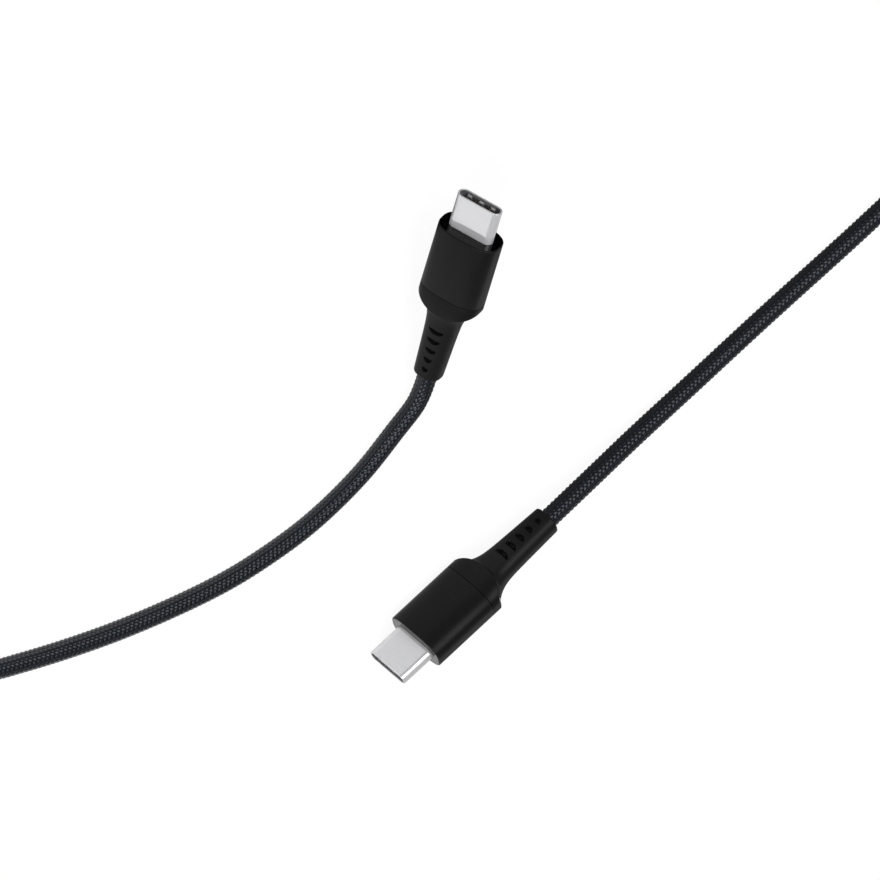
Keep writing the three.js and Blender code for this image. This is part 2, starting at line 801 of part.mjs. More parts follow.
const lengthOf = (points) => new CordPath(points).getLength();
const lengths = [stretchA, coilLine, stretchB].map(lengthOf);
console.log("cord lengths, mm", lengths.map((length) => length.toFixed(1)).join(" "));
console.log("least gap of the coil to itself, mm", leastGap(coilLine).toFixed(2));
console.log("middle of the plugs before the shift, mm", middle.x.toFixed(2), middle.y.toFixed(2));

export default cable;
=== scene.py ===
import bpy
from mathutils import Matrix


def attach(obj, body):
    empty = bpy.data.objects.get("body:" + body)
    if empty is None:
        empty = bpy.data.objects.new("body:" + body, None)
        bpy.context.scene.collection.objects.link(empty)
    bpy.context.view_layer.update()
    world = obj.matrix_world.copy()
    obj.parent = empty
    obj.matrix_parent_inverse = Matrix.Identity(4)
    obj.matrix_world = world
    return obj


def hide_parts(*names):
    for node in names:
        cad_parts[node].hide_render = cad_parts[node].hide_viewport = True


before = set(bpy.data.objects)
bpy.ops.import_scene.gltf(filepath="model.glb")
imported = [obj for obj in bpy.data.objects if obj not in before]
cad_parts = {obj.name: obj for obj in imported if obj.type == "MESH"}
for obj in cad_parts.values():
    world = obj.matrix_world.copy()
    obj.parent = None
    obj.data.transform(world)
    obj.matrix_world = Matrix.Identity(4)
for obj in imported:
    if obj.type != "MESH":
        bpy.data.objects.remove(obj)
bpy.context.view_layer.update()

import math

import bmesh
import bpy
from mathutils import Matrix, Vector

mm = 0.001
scene = bpy.context.scene


def linearColor(hexText):
    parts = [int(hexText[i : i + 2], 16) / 255 for i in (1, 3, 5)]
    linear = [c / 12.92 if c <= 0.04045 else ((c + 0.055) / 1.055) ** 2.4 for c in parts]
    return linear + [1.0]


def addNode(tree, kind, links=None, **settings):
    # links holds a value or another node's output for each input, by its name or number
    node = tree.nodes.new(kind)
    for name, value in settings.items():
        setattr(node, name, value)
    for key, value in (links or {}).items():
        if isinstance(value, bpy.types.NodeSocket):
            tree.links.new(value, node.inputs[key])
        else:
            node.inputs[key].default_value = value
    return node


# camera: the photograph is square and was taken from far away, so the lens is long

cameraView = {
    "aim": (4.484, -6.527, 4.0),  # mm
    "right": (-0.0554, 0.8059, 0.5894),
    "up": (-0.8490, 0.2726, -0.4526),
    "distance": 3000.0,
    "lens": 740.0,
}


def makeCamera():
    right = Vector(cameraView["right"]).normalized()
    up = Vector(cameraView["up"])
    up = (up - right * up.dot(right)).normalized()
    back = right.cross(up)
    spot = Vector(cameraView["aim"]) * mm + back * cameraView["distance"] * mm
    data = bpy.data.cameras.new("camera")
    data.lens = cameraView["lens"]
    data.sensor_width = 36
    data.clip_start = 0.1
    data.clip_end = 20
    camera = bpy.data.objects.new("camera", data)
    turned = Matrix((right, up, back)).transposed().to_4x4()
    camera.matrix_world = Matrix.Translation(spot) @ turned
    scene.collection.objects.link(camera)
    scene.camera = camera


makeCamera()

# how the plugs lie: the middle of the front face in mm, then degrees

plugPlaces = {
    "plug_a": {"at": (-38.906, -7.097, 9.417), "heading": 177.1, "pitch": 13.0, "roll": -64.4},
    "plug_b": {"at": (41.454, -10.787, 6.421), "heading": -62.7, "pitch": 3.1, "roll": 71.8},
}


def plugMatrix(name):
    place = plugPlaces[name]
    turn = (
        Matrix.Rotation(math.radians(place["heading"]), 4, "Z")
        @ Matrix.Rotation(math.radians(-place["pitch"]), 4, "Y")
        @ Matrix.Rotation(math.radians(place["roll"]), 4, "X")
    )
    return Matrix.Translation(Vector(place["at"])) @ turn


# materials

finishes = {}


def newFinish(name, color, roughness, metallic=0.0, ior=1.5):
    finish = bpy.data.materials.new(name)
    finish.use_nodes = True
    surface = finish.node_tree.nodes["Principled BSDF"]
    surface.inputs["Base Color"].default_value = linearColor(color)
    surface.inputs["Roughness"].default_value = roughness
    surface.inputs["Metallic"].default_value = metallic
    surface.inputs["IOR"].default_value = ior
    finishes[name] = finish
    return finish, finish.node_tree, surface


def grain(tree, surface, sizeMm, height, roughness=None, stretch=(1, 1, 1), detail=3.0):
    # fine surface grain on Object coordinates: bump, and a little more or less gloss
    place = addNode(tree, "ShaderNodeTexCoord").outputs["Object"]
    scaled = addNode(
        tree,
        "ShaderNodeMapping",
        {"Vector": place, "Scale": [s * 1000 / sizeMm for s in stretch]},
    )
    noise = addNode(
        tree,
        "ShaderNodeTexNoise",
        {"Vector": scaled.outputs["Vector"], "Scale": 1.0, "Detail": detail, "Roughness": 0.6},
    )
    bump = addNode(
        tree,
        "ShaderNodeBump",
        {"Height": noise.outputs["Fac"], "Distance": height * mm, "Strength": 1.0},
    )
    tree.links.new(bump.outputs["Normal"], surface.inputs["Normal"])
    if roughness:
        spread = addNode(
            tree,
            "ShaderNodeMapRange",
            {"Value": noise.outputs["Fac"], "From Min": 0.3, "From Max": 0.7},
        )
        spread.inputs["To Min"].default_value = roughness[0]
        spread.inputs["To Max"].default_value = roughness[1]
        tree.links.new(spread.outputs["Result"], surface.inputs["Roughness"])
    return noise


def tint(tree, surface, noise, low, high):
    # the base colour wanders a little between two shades
    ramp = addNode(
        tree,
        "ShaderNodeMix",
        {"Factor": noise.outputs["Fac"]},
        data_type="RGBA",
    )
    ramp.inputs[6].default_value = linearColor(low)
    ramp.inputs[7].default_value = linearColor(high)
    tree.links.new(ramp.outputs[2], surface.inputs["Base Color"])


def makeFinishes():
    # nickel-plated steel: a milky plating over a mirror,
    # so it stays pale and still shows reflections
    _, tree, surface = newFinish("nickelPlatedSteel", "#d9d9db", 0.08, 0.43)
    noise = grain(tree, surface, 0.5, 0.0003, (0.06, 0.09))
    tint(tree, surface, noise, "#d7d7d9", "#dcdcde")
    # painted shade: the inside of the tube gets a darker colour of the same plating, standing
    # in for the shade inside the mouth
    plated = surface.inputs["Base Color"].links[0].from_socket
    inside = addNode(tree, "ShaderNodeAttribute", attribute_name="inside").outputs["Fac"]
    both = addNode(tree, "ShaderNodeMix", {"Factor": inside}, data_type="RGBA")
    tree.links.new(plated, both.inputs[6])
    both.inputs[7].default_value = linearColor("#828286")
    tree.links.new(both.outputs[2], surface.inputs["Base Color"])

    # sand-blasted and black anodised aluminium: very dark, with a soft broad sheen
    # its grit is about 0.05 mm, and is drawn coarser to show
    _, tree, surface = newFinish("blackAnodisedAluminium", "#0f0f10", 0.37, 0.0)
    surface.inputs["Specular IOR Level"].default_value = 0.15
    noise = grain(tree, surface, 0.12, 0.003, (0.34, 0.4))
    tint(tree, surface, noise, "#0e0e0f", "#121213")

    # polished black ABS: almost no colour, clear reflections at a low angle
    _, tree, surface = newFinish("polishedBlackABS", "#040405", 0.08, 0.0, 1.42)
    grain(tree, surface, 0.8, 0.0004, (0.06, 0.1))

    # thermoplastic elastomer from a spark-eroded mould: dull, greyer than the housing
    _, tree, surface = newFinish("satinElastomer", "#131314", 0.4, 0.0, 1.45)
    surface.inputs["Specular IOR Level"].default_value = 0.19
    noise = grain(tree, surface, 0.16, 0.003, (0.36, 0.44))
    tint(tree, surface, noise, "#111112", "#161617")

    # glass-filled nylon of the mouth's insulator
    _, tree, surface = newFinish("blackNylonMoulding", "#111112", 0.45)
    grain(tree, surface, 0.2, 0.002, (0.4, 0.55))

    # tempered stainless strip: bright, with rolling lines
    _, tree, surface = newFinish("stainlessSpringStrip", "#f6f5f2", 0.2, 0.92)
    grain(tree, surface, 0.15, 0.001, (0.18, 0.3), (1, 6, 6))

    # gold over nickel
    _, tree, surface = newFinish("goldPlating", "#d9b25c", 0.25, 1.0)
    grain(tree, surface, 0.15, 0.001, (0.2, 0.32))

    # epoxy glass board under green solder resist
    _, tree, surface = newFinish("solderResist", "#1d4a32", 0.35)
    noise = grain(tree, surface, 0.25, 0.004)
    tint(tree, surface, noise, "#1a4530", "#21543a")

    # drawn phosphor bronze can
    _, tree, surface = newFinish("phosphorBronze", "#b98a5c", 0.3, 1.0)
    grain(tree, surface, 0.3, 0.002, (0.25, 0.4), (1, 5, 5))

    # low-pressure hot melt round the card
    _, tree, surface = newFinish("hotMeltMoulding", "#ddd9cd", 0.5)
    noise = grain(tree, surface, 1.2, 0.01)
    tint(tree, surface, noise, "#d6d2c5", "#e4e1d8")

    # extruded wire insulation
    wires = {"red": "#a8322a", "black": "#161617", "green": "#2d7a45", "white": "#e6e6e3"}
    for word, color in wires.items():
        _, tree, surface = newFinish(word + "WireInsulation", color, 0.45)
        grain(tree, surface, 0.3, 0.002, (0.4, 0.55))

    makeYarnFinish()

    # the cord's jacket under the braid, hardly seen between the yarns
    _, tree, surface = newFinish("cordJacket", "#08090b", 0.7)
    grain(tree, surface, 0.3, 0.003)

    # woven nylon hook-and-loop tape: loops make it dull and a little fuzzy
    _, tree, surface = newFinish("hookAndLoopTape", "#17181a", 0.9)
    surface.inputs["Sheen Weight"].default_value = 0.35
    surface.inputs["Sheen Roughness"].default_value = 0.5
    noise = grain(tree, surface, 0.35, 0.06, detail=5.0)
    tint(tree, surface, noise, "#0f1011", "#26282b")


yarnLook = {
    "dark": "#030508",
    "light": "#0b111c",
    "roughness": 0.27,
    "gloss": 0.56,
    "glossTint": "#e0e6f1",
    "filamentScale": (7.0, 1.2, 40.0),  # across a yarn, along it, and from yarn to yarn
    "filamentHeight": 0.006,
    "toneLow": 0.35,  # the yarns' own shades lie between these two
    "toneHigh": 1.0,
    "seed": 7,
}


def makeYarnFinish():
    # bundled nylon filament, dyed blue-black: dark, with a soft gleam along each float
    _, tree, surface = newFinish("nylonYarn", yarnLook["dark"], yarnLook["roughness"])
    surface.inputs["Specular IOR Level"].default_value = yarnLook["gloss"]
    surface.inputs["Specular Tint"].default_value = linearColor(yarnLook["glossTint"])
    tone = addNode(tree, "ShaderNodeAttribute", attribute_name="yarnTone").outputs["Fac"]
    across = addNode(tree, "ShaderNodeAttribute", attribute_name="yarnAcross").outputs["Fac"]
    along = addNode(tree, "ShaderNodeAttribute", attribute_name="yarnAlong").outputs["Fac"]
    place = addNode(tree, "ShaderNodeCombineXYZ", {"X": across, "Y": along, "Z": tone})
    filaments = addNode(
        tree,
        "ShaderNodeMapping",
        {"Vector": place.outputs["Vector"], "Scale": yarnLook["filamentScale"]},
    )
    noise = addNode(
        tree,
        "ShaderNodeTexNoise",
        {"Vector": filaments.outputs["Vector"], "Scale": 1.0, "Detail": 2.0},
    )
    mixed = addNode(
        tree, "ShaderNodeMath", {0: tone, 1: noise.outputs["Fac"]}, operation="MULTIPLY"
    )
    color = addNode(
        tree, "ShaderNodeMix", {"Factor": mixed.outputs["Value"]}, data_type="RGBA"
    )
    color.inputs[6].default_value = linearColor(yarnLook["dark"])
    color.inputs[7].default_value = linearColor(yarnLook["light"])
    tree.links.new(color.outputs[2], surface.inputs["Base Color"])
    bump = addNode(
        tree,
        "ShaderNodeBump",
        {"Height": noise.outputs["Fac"], "Distance": yarnLook["filamentHeight"] * mm},
    )
    tree.links.new(bump.outputs["Normal"], surface.inputs["Normal"])


makeFinishes()
print("finishes ready:", len(finishes))

# the cord's sizes and route, in mm: the route is the solids' own, moved by shift

cordSizes = {
    "diameter": 3.4,
    "coreRadius": 1.32,
    "middleRadius": 1.49,  # of the yarns' middle lines
    "carriers": 24,
    "lead": 10.7,  # a yarn goes round once in this length, at about 41 degrees
    "yarnWidth": 0.62,
    "yarnHeight": 0.26,
    "weave": 0.12,  # how far a yarn rises and dives
    "step": 0.222,  # an eighth of a whole wave of the weave
    "yarnsPerPiece": 4,
    "pointsPerMm": 0.8,
    "bevelSteps": 3,
}
shift = (0.494, 0.063)  # from the part's own origin to the frame's
rest = cordSizes["diameter"] / 2 + 0.05  # the cord's middle over the table
coil = {
    "centre": (-91.5, 71.0),
    "radius": 24.6,
    "pitch": 4.5,
    "rise": 4.3,
    "turnsPerLayer": 1.875,
    "climbTurns": 0.5,  # between the two layers
    "steps": 24,
    "low": 0.6 + 0.3 + rest,  # over the strap and its gap
}
routeA = [
    (-5.85, -9.15, 1.86),
    (-3.2, -10.35, 1.77),
    (0.85, -14.3, rest),
    (7.3, -21.1, rest),
    (13.4, -30.5, rest),
    (17.3, -40.1, rest),
    (19.8, -49.7, rest),
    (21.9, -69.0, rest),
    (21.8, -88.4, rest),
    (20.9, -96.5, rest),
    (17.0, -104.0, rest),
    (9.8, -108.2, rest),
    (0.0, -109.4, rest),
    (-95.0, -109.0, rest),
    (-106.0, -107.0, rest),
    (-113.4, -101.5, rest),
    (-116.6, -92.5, rest),
    (-117.0, -80.0, rest),
    (-116.7, 8.0, rest),
    (-116.5, 30.0, rest),
    (-116.2, 52.0, 2.1),
]
routeB = [
    (-76.0, 96.3, 6.2),
    (-64.0, 97.1, 4.0),
    (-52.0, 97.8, 2.0),
    (-38.0, 98.0, rest),
    (-25.8, 97.4, rest),
    (-18.0, 94.6, rest),
    (-13.3, 90.2, rest),
    (-9.3, 84.0, rest),
    (3.6, 61.5, rest),
    (11.1, 48.7, 1.8),
    (17.7, 35.1, 2.9),
    (21.1, 27.8, 3.8),
]
bootEndX = -31.1
meetGap = 0.3
leadLength = 0.8
insideBoot = 0.8  # where the cord starts


def coilPoint(turns):
    layer, climbTurns = coil["turnsPerLayer"], coil["climbTurns"]
    wound = min(turns, layer) - max(turns - layer - climbTurns, 0)
    climb = min(max((turns - layer) / climbTurns, 0), 1)
    radius = coil["radius"] - coil["pitch"] * wound
    angle = math.pi - 2 * math.pi * turns
    x, y = coil["centre"]
    z = coil["low"] + coil["rise"] * climb
    return (x + radius * math.cos(angle), y + radius * math.sin(angle), z)


def cordPoints():
    d = cordSizes["diameter"]
    (x, y), r = coil["centre"], coil["radius"]
    low, high = coil["low"], coil["low"] + coil["rise"]
    turns = 2 * coil["turnsPerLayer"] + coil["climbTurns"]
    count = round(turns * coil["steps"])
    points = list(routeA)
    points += [(x - r, y - meetGap - 2 * d, low), (x - r, y - d, low)]
    points += [coilPoint(turns * i / count) for i in range(count + 1)]
    points += [(x + d, y + r, high), (x + meetGap + 2 * d, y + r, high)]
    points += routeB
    points = [Vector((p[0] + shift[0], p[1] + shift[1], p[2])) for p in points]
    backs = (-insideBoot, meetGap, meetGap + leadLength)
    startA = [plugMatrix("plug_a") @ Vector((bootEndX - back, 0, 0)) for back in backs]
    endB = [plugMatrix("plug_b") @ Vector((bootEndX - back, 0, 0)) for back in reversed(backs)]
    return startA + points + endB


def throughPoints(points, per):
    # centripetal Catmull-Rom curve
    ends = [points[0] * 2 - points[1]] + points + [points[-1] * 2 - points[-2]]
    line = []
    for i in range(1, len(ends) - 2):
        p0, p1, p2, p3 = ends[i - 1 : i + 3]
        t1 = (p1 - p0).length ** 0.5
        t2 = t1 + (p2 - p1).length ** 0.5
        t3 = t2 + (p3 - p2).length ** 0.5
        count = max(2, round((p2 - p1).length * per))
        for k in range(count):
            t = t1 + (t2 - t1) * k / count
            a1 = p0 * ((t1 - t) / t1) + p1 * (t / t1)
            a2 = p1 * ((t2 - t) / (t2 - t1)) + p2 * ((t - t1) / (t2 - t1))
            a3 = p2 * ((t3 - t) / (t3 - t2)) + p3 * ((t - t2) / (t3 - t2))
            b1 = a1 * ((t2 - t) / t2) + a2 * (t / t2)
            b2 = a2 * ((t3 - t) / (t3 - t1)) + a3 * ((t - t1) / (t3 - t1))
            line.append(b1 * ((t2 - t) / (t2 - t1)) + b2 * ((t - t1) / (t2 - t1)))
    return line + [points[-1]]


def makeLineObject(name, line):
    data = bpy.data.curves.new(name, "CURVE")
    data.dimensions = "3D"
    spline = data.splines.new("POLY")
    spline.points.add(len(line) - 1)
    for point, spot in zip(spline.points, line):
        point.co = (*(spot * mm), 1)
    made = bpy.data.objects.new(name, data)
    scene.collection.objects.link(made)
    return made


def braidTree():
    tree = bpy.data.node_groups.new("braidOverCord", "GeometryNodeTree")
    sockets = [
        ("Path", "NodeSocketObject"),
        ("Carriers", "NodeSocketInt"),
        ("First Yarn", "NodeSocketInt"),
        ("Yarns", "NodeSocketInt"),
        ("Lead", "NodeSocketFloat"),
        ("Middle Radius", "NodeSocketFloat"),
        ("Weave", "NodeSocketFloat"),
        ("Yarn Width", "NodeSocketFloat"),
        ("Yarn Height", "NodeSocketFloat"),
        ("Step", "NodeSocketFloat"),
        ("Seed", "NodeSocketInt"),
        ("Material", "NodeSocketMaterial"),
    ]
    for name, kind in sockets:
        tree.interface.new_socket(name, in_out="INPUT", socket_type=kind)
    tree.interface.new_socket("Geometry", in_out="OUTPUT", socket_type="NodeSocketGeometry")
    given = addNode(tree, "NodeGroupInput").outputs
    path = addNode(tree, "GeometryNodeObjectInfo", {"Object": given["Path"]})
    even = addNode(
        tree,
        "GeometryNodeResampleCurve",
        {"Curve": path.outputs["Geometry"], "Length": given["Step"]},
        mode="LENGTH",
    )
    copies = addNode(
        tree,
        "GeometryNodeDuplicateElements",
        {"Geometry": even.outputs["Curve"], "Amount": given["Yarns"]},
        domain="SPLINE",
    )
    index = addNode(
        tree, "ShaderNodeMath", {0: copies.outputs["Duplicate Index"], 1: given["First Yarn"]},
        operation="ADD",
    ).outputs[0]
    odd = addNode(tree, "ShaderNodeMath", {0: index, 1: 2.0}, operation="MODULO").outputs[0]
    hand = addNode(
        tree, "ShaderNodeMath", {0: odd, 1: -2.0, 2: 1.0}, operation="MULTIPLY_ADD"
    ).outputs[0]
    half = addNode(tree, "ShaderNodeMath", {0: index, 1: 0.5}, operation="MULTIPLY").outputs[0]
    pair = addNode(tree, "ShaderNodeMath", {0: half}, operation="FLOOR").outputs[0]
    perHand = addNode(
        tree, "ShaderNodeMath", {0: given["Carriers"], 1: 0.5}, operation="MULTIPLY"
    ).outputs[0]
    length = addNode(tree, "GeometryNodeSplineParameter").outputs["Length"]
    turns = addNode(
        tree, "ShaderNodeMath", {0: length, 1: given["Lead"]}, operation="DIVIDE"
    ).outputs[0]
    signed = addNode(
        tree, "ShaderNodeMath", {0: turns, 1: hand}, operation="MULTIPLY"
    ).outputs[0]
    offset = addNode(
        tree, "ShaderNodeMath", {0: pair, 1: perHand}, operation="DIVIDE"
    ).outputs[0]
    around = addNode(
        tree, "ShaderNodeMath", {0: offset, 1: signed}, operation="ADD"
    ).outputs[0]
    angle = addNode(
        tree, "ShaderNodeMath", {0: around, 1: 2 * math.pi}, operation="MULTIPLY"
    ).outputs[0]
    # a yarn passes over two and under two: half a wave for every two crossings
    crossings = addNode(
        tree, "ShaderNodeMath", {0: signed, 1: perHand}, operation="MULTIPLY"
    ).outputs[0]
    passed = addNode(
        tree, "ShaderNodeMath", {0: crossings, 1: pair}, operation="ADD"
    ).outputs[0]
    phase = addNode(
        tree,
        "ShaderNodeMath",
        {0: passed, 1: math.pi, 2: -math.pi / 4},
        operation="MULTIPLY_ADD",
    ).outputs[0]
    wave = addNode(tree, "ShaderNodeMath", {0: phase}, operation="COSINE").outputs[0]
    handed = addNode(
        tree, "ShaderNodeMath", {0: wave, 1: hand}, operation="MULTIPLY"
    ).outputs[0]
    radius = addNode(
        tree,
        "ShaderNodeMath",
        {0: handed, 1: given["Weave"], 2: given["Middle Radius"]},
        operation="MULTIPLY_ADD",
    ).outputs[0]
    outward = addNode(
        tree,
        "ShaderNodeVectorRotate",
        {
            "Vector": addNode(tree, "GeometryNodeInputNormal").outputs["Normal"],
            "Axis": addNode(tree, "GeometryNodeInputTangent").outputs["Tangent"],
            "Angle": angle,
        },
        rotation_type="AXIS_ANGLE",
    ).outputs["Vector"]
    marked = addNode(
        tree,
        "GeometryNodeStoreNamedAttribute",
        {"Geometry": copies.outputs["Geometry"], "Name": "outward", "Value": outward},
        data_type="FLOAT_VECTOR",
        domain="POINT",
    )
    lengthMm = addNode(
        tree, "ShaderNodeMath", {0: length, 1: 1000.0}, operation="MULTIPLY"
    ).outputs[0]
    marked = addNode(
        tree,
        "GeometryNodeStoreNamedAttribute",
        {"Geometry": marked.outputs["Geometry"], "Name": "yarnAlong", "Value": lengthMm},
        data_type="FLOAT",
        domain="POINT",
    )
    tone = addNode(
        tree,
        "FunctionNodeRandomValue",
        {2: yarnLook["toneLow"], 3: yarnLook["toneHigh"], "ID": index, "Seed": given["Seed"]},
        data_type="FLOAT",
    ).outputs[1]
    marked = addNode(
        tree,
        "GeometryNodeStoreNamedAttribute",
        {"Geometry": marked.outputs["Geometry"], "Name": "yarnTone", "Value": tone},
        data_type="FLOAT",
        domain="POINT",
    )
    reach = addNode(
        tree, "ShaderNodeVectorMath", {0: outward, "Scale": radius}, operation="SCALE"
    ).outputs[0]
    wound = addNode(
        tree,
        "GeometryNodeSetPosition",
        {"Geometry": marked.outputs["Geometry"], "Offset": reach},
    )
    kept = addNode(
        tree, "GeometryNodeInputNamedAttribute", {"Name": "outward"}, data_type="FLOAT_VECTOR"
    ).outputs["Attribute"]
    upright = addNode(
        tree,
        "GeometryNodeSetCurveNormal",
        {"Curve": wound.outputs["Geometry"], "Normal": kept},
        mode="FREE",
    )
    section = addNode(
        tree, "GeometryNodeCurvePrimitiveCircle", {"Resolution": 4, "Radius": 0.5}
    )
    spot = addNode(tree, "GeometryNodeInputPosition").outputs["Position"]
    apart = addNode(tree, "ShaderNodeSeparateXYZ", {0: spot}).outputs
    edged = addNode(
        tree,
        "GeometryNodeStoreNamedAttribute",
        {"Geometry": section.outputs["Curve"], "Name": "yarnAcross", "Value": apart["Y"]},
        data_type="FLOAT",
        domain="POINT",
    )
    size = addNode(
        tree,
        "ShaderNodeCombineXYZ",
        {"X": given["Yarn Height"], "Y": given["Yarn Width"], "Z": 1.0},
    )
    flat = addNode(
        tree,
        "GeometryNodeTransform",
        {"Geometry": edged.outputs["Geometry"], "Scale": size.outputs["Vector"]},
    )
    yarns = addNode(
        tree,
        "GeometryNodeCurveToMesh",
        {
            "Curve": upright.outputs["Curve"],
            "Profile Curve": flat.outputs["Geometry"],
            "Fill Caps": True,
        },
    )
    smooth = addNode(
        tree,
        "GeometryNodeSetShadeSmooth",
        {"Geometry": yarns.outputs["Mesh"], "Shade Smooth": True},
    )
    real = addNode(
        tree, "GeometryNodeRealizeInstances", {"Geometry": smooth.outputs["Geometry"]}
    )
    dressed = addNode(
        tree,
        "GeometryNodeSetMaterial",
        {"Geometry": real.outputs["Geometry"], "Material": given["Material"]},
    )
    addNode(tree, "NodeGroupOutput", {"Geometry": dressed.outputs["Geometry"]})
    return tree


def makeBraid(path):
    tree = braidTree()
    names = {item.name: item.identifier for item in tree.interface.items_tree}
    share = cordSizes["yarnsPerPiece"]
    braids = []
    for first in range(0, cordSizes["carriers"], share):
        host = bpy.data.objects.new("braidHost", bpy.data.meshes.new("braidHost"))
        scene.collection.objects.link(host)
        nodes = host.modifiers.new("braid", "NODES")
        nodes.node_group = tree
        values = {
            "Path": path,
            "Carriers": cordSizes["carriers"],
            "First Yarn": first,
            "Yarns": share,
            "Lead": cordSizes["lead"] * mm,
            "Middle Radius": cordSizes["middleRadius"] * mm,
            "Weave": cordSizes["weave"] * mm,
            "Yarn Width": cordSizes["yarnWidth"] * mm,
            "Yarn Height": cordSizes["yarnHeight"] * mm,
            "Step": cordSizes["step"] * mm,
            "Seed": yarnLook["seed"],
            "Material": finishes["nylonYarn"],
        }
        for name, value in values.items():
            nodes[names[name]] = value
        ready = host.evaluated_get(bpy.context.evaluated_depsgraph_get())
        mesh = bpy.data.meshes.new_from_object(ready)
        host.modifiers.remove(nodes)
        bpy.data.objects.remove(host)
        mesh.name = f"braidYarns{first // share + 1}"
        mesh.set_sharp_from_angle(angle=math.radians(60))  # a low crown between two edges
        braid = bpy.data.objects.new(mesh.name, mesh)
        scene.collection.objects.link(braid)
        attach(braid, "root")
        braids.append(braid)
    return braids


def makeCord():
    line = throughPoints(cordPoints(), cordSizes["pointsPerMm"])
    core = makeLineObject("cordCore", line)
    braids = makeBraid(core)
    core.data.bevel_depth = cordSizes["coreRadius"] * mm
    core.data.bevel_resolution = cordSizes["bevelSteps"]
    core.data.use_fill_caps = True
    core.data.materials.append(finishes["cordJacket"])
    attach(core, "root")
    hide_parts("cord_stretch_a", "cord_coil", "cord_stretch_b")
    strap = makeTie()


# meshes from rings of points, in mm


def skin(name, rings, matrix, finish, closed=True, sharp=40, marks=None):
    count = len(rings[0])
    work = bmesh.new()
    rows = [[work.verts.new(matrix @ Vector(p) * mm) for p in ring] for ring in rings]
    pairs = list(zip(rows, rows[1:] + rows[:1])) if closed else list(zip(rows, rows[1:]))
    for number, (one, two) in enumerate(pairs):
        for i in range(count):
            j = (i + 1) % count
            face = work.faces.new((one[i], one[j], two[j], two[i]))
            face.smooth = True
            if marks and number in marks:
                face.material_index = 1
    if not closed:
        work.faces.new(rows[0])
        work.faces.new(list(reversed(rows[-1])))
    bmesh.ops.recalc_face_normals(work, faces=work.faces[:])
    mesh = bpy.data.meshes.new(name)
    work.to_mesh(mesh)
    work.free()
    mesh.set_sharp_from_angle(angle=math.radians(sharp))
    for each in finish if isinstance(finish, (list, tuple)) else [finish]:
        mesh.materials.append(finishes[each])
    made = bpy.data.objects.new(name, mesh)
    scene.collection.objects.link(made)
    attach(made, "root")
    return made


def roundedOutline(width, height, curve, count):
    points = []
    for i in range(count):
        angle = 2 * math.pi * i / count
        c, s = math.cos(angle), math.sin(angle)
        y = math.copysign(abs(c) ** (2 / curve), c) * width / 2
        z = math.copysign(abs(s) ** (2 / curve), s) * height / 2
        points.append((y, z))
    return points


def stadiumOutline(width, height, count):
    # evenly spaced round two straight sides and two half circles,
    # from the middle of the right end
    radius = height / 2
    side = width / 2 - radius
    arc = math.pi * radius
    around = 2 * arc + 4 * side
    points = []
    for i in range(count):
        s = around * i / count
        if s < arc / 2:
            a = s / radius
            points.append((side + radius * math.cos(a), radius * math.sin(a)))
        elif s < arc / 2 + 2 * side:
            points.append((side - (s - arc / 2), radius))
        elif s < 1.5 * arc + 2 * side:
            a = math.pi / 2 + (s - arc / 2 - 2 * side) / radius
            points.append((-side + radius * math.cos(a), radius * math.sin(a)))
        elif s < 1.5 * arc + 4 * side:
            points.append((-side + (s - 1.5 * arc - 2 * side), -radius))
        else:
            a = -math.pi / 2 + (s - 1.5 * arc - 4 * side) / radius
            points.append((side + radius * math.cos(a), radius * math.sin(a)))
    return points


def arcSteps(fromAngle, toAngle, count):
    return [
        math.radians(fromAngle + (toAngle - fromAngle) * i / count) for i in range(count + 1)
    ]


# metal shell

shellSizes = {
    "width": 8.25,
    "thickness": 2.4,
    "reach": 6.65,
    "tail": 4.0,
    "wall": 0.3,
    "mouthRound": 0.14,
    "innerRound": 0.08,
    "points": 240,
}


def makeShell(plug, matrix):
    s = shellSizes
    steps = [(-s["tail"], 0.0)]
    r = s["mouthRound"]
    steps += [
        (s["reach"] - r + r * math.sin(a), r - r * math.cos(a)) for a in arcSteps(0, 90, 6)
    ]
    r = s["innerRound"]
    steps += [
        (s["reach"] - r + r * math.cos(a), s["wall"] - r + r * math.sin(a))
        for a in arcSteps(0, 90, 3)
    ]
    steps += [(-s["tail"], s["wall"])]
    rings = []
    for x, inset in steps:
        width, thickness = s["width"] - 2 * inset, s["thickness"] - 2 * inset
        outline = stadiumOutline(width, thickness, s["points"])
        rings.append([(x, y, z) for y, z in outline])
    made = skin(plug + "Shell", rings, matrix, "nickelPlatedSteel")
    # painted shade: faces inside the tube are marked here for the darker plating colour
    inside = made.data.attributes.new("inside", "FLOAT", "FACE")
    back = matrix.inverted()
    for face in made.data.polygons:
        x, y, z = back @ (face.center / mm)
        radius = math.hypot(max(abs(y) - (s["width"] - s["thickness"]) / 2, 0), z)
        within = radius < (s["thickness"] - s["wall"]) / 2 and x < s["reach"] - s["innerRound"]
        inside.data[face.index].value = 1.0 if within else 0.0
    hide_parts(plug + "_shell")


# housing: sleeve, front plate and rear collar share one outline

housingSizes = {
    "width": 11.28,
    "thickness": 6.7,
    "curve": 2.9,
    "wall": 0.6,
    "sleeve": 12.9,
    "seam": 0.08,
    "edgeRound": 0.22,
    "seamRound": 0.05,
    "collarSide": 1.4,
    "bow": 2.44,
    "plate": 0.9,
    "plateGap": 0.05,  # round the shell
    "plateFit": 0.02,  # round the front plate
    "faceRim": 0.02,  # of flat face just inside the edge's round
    "collarRound": 0.1,
    "fit": 0.08,
    "points": 256,
}


def housingRing(x, inset):
    h = housingSizes
    outline = roundedOutline(
        h["width"] - 2 * inset, h["thickness"] - 2 * inset, h["curve"], h["points"]
    )
    return [(x(y) if callable(x) else x, y, z) for y, z in outline]


